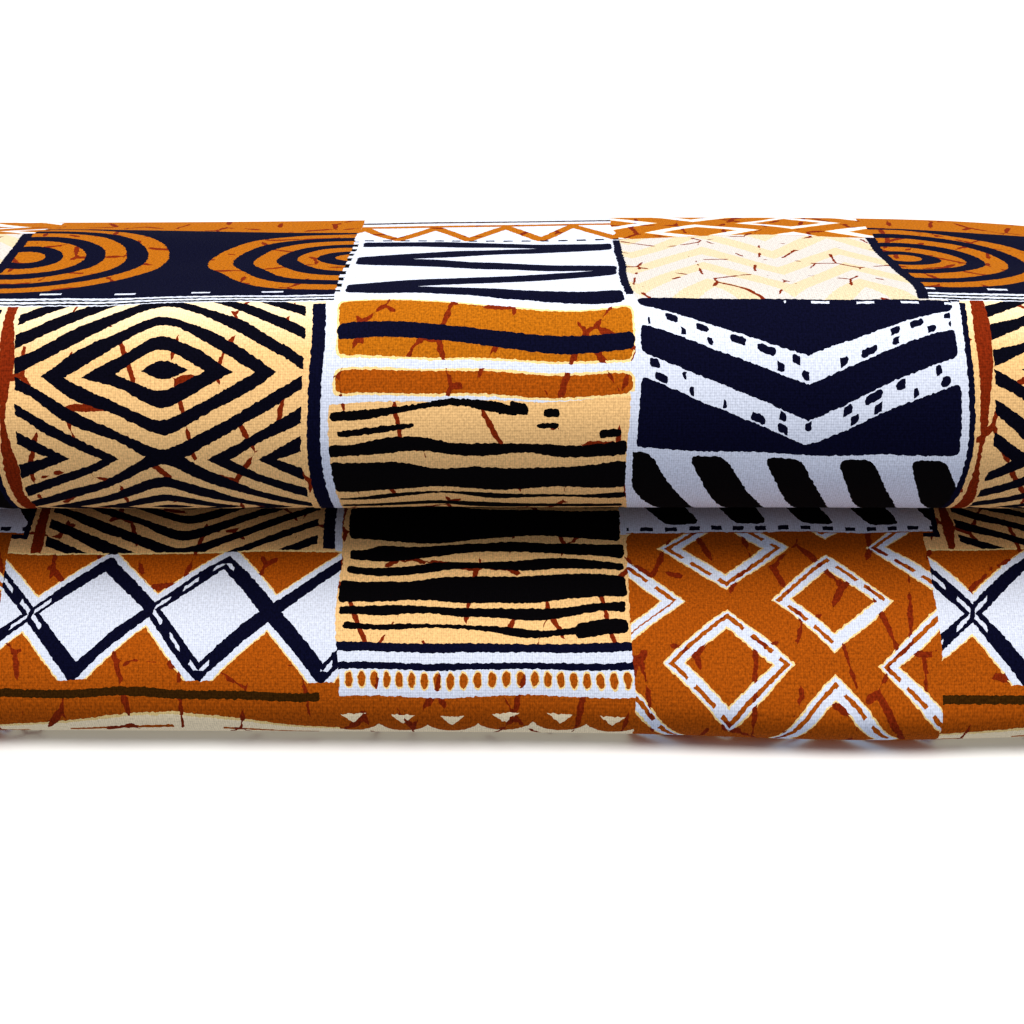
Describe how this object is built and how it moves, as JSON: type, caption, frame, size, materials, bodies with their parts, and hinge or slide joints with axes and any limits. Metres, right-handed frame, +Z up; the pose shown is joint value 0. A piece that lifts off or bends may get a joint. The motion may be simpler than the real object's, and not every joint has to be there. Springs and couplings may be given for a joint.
{
  "type": "folded ankara cloth",
  "caption": "Length of printed ankara cotton, doubled along its width and laid back and forth into two soft rolls, one on the other, resting flat.",
  "frame": {"origin": "centre of the bounding box's underside, on the surface that the cloth rests on", "axes": "+X along the fold lines, -Y towards the rolled front of the folds, +Z up"},
  "size_m": [0.2874, 0.143, 0.0775],
  "materials": {
    "printed_cotton": "plain-woven cotton with a multicoloured geometric wax print in orange, cream, white and navy, dull with a faint sheen"
  },
  "bodies": {
    "root": {"folded_cloth": "printed_cotton"}
  },
  "joints": []
}
